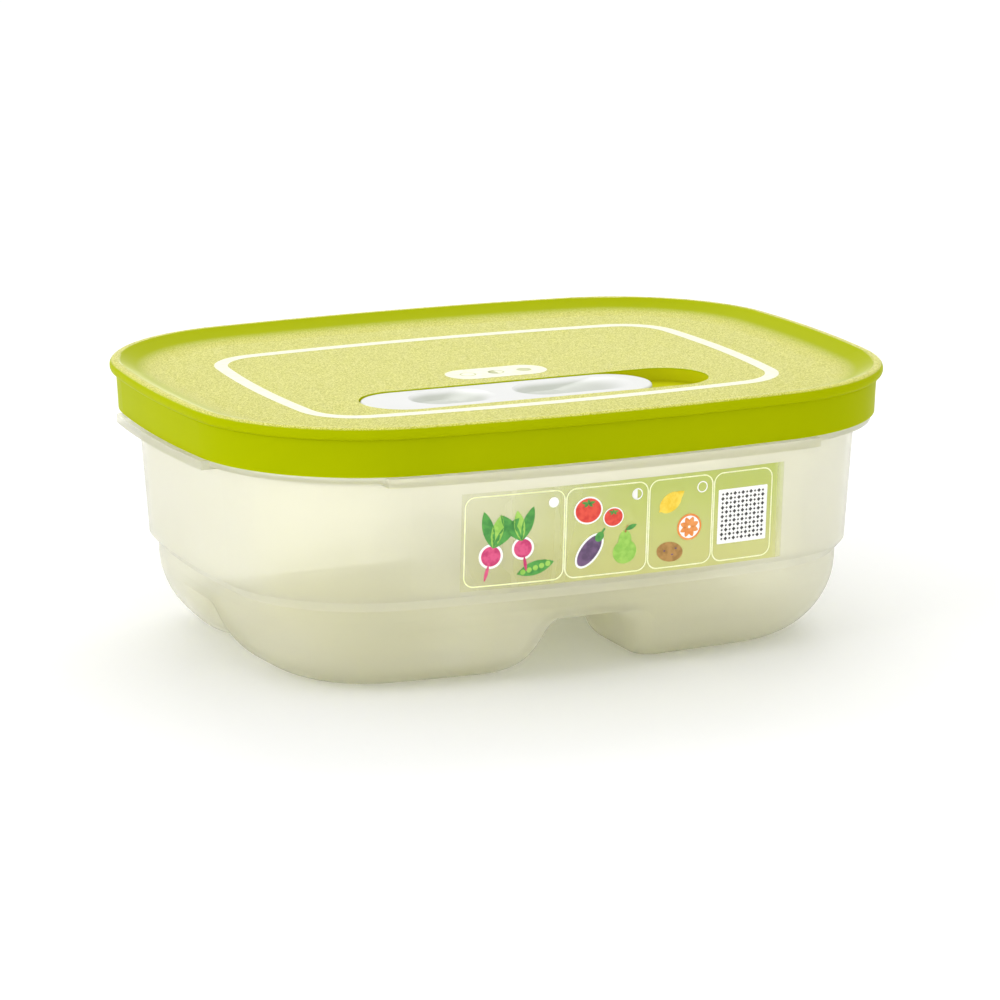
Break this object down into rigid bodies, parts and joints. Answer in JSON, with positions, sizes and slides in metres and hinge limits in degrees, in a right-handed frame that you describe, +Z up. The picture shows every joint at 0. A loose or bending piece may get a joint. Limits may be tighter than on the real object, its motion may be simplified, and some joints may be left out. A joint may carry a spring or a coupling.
{
  "type": "produce keeper",
  "caption": "Translucent food keeper with a soft press-on lid, a sliding air vent and raised feet.",
  "frame": {"origin": "on the resting plane, under the middle of the keeper", "axes": "+X along the length, +Y away from the labelled front, +Z up"},
  "size_m": [0.193, 0.151, 0.0726],
  "materials": {
    "frosted_shell": "frosted translucent",
    "lid_plastic": "satin skirt, fine-grained top",
    "slider_plastic": "smooth satin",
    "label_film": "printed film"
  },
  "bodies": {
    "base": {"base_shell": "frosted_shell", "guide_label": "label_film"},
    "lid": {"lid_shell": "lid_plastic"},
    "slider": {"vent_slider": "slider_plastic"}
  },
  "joints": [
    {"name": "lid_lift", "type": "slide", "parent": "base", "child": "lid", "axis": [0, 0, 1], "range_m": [0, 0.04]},
    {"name": "vent_slide", "type": "slide", "parent": "lid", "child": "slider", "axis": [1, 0, 0], "range_m": [0, 0.016]}
  ]
}
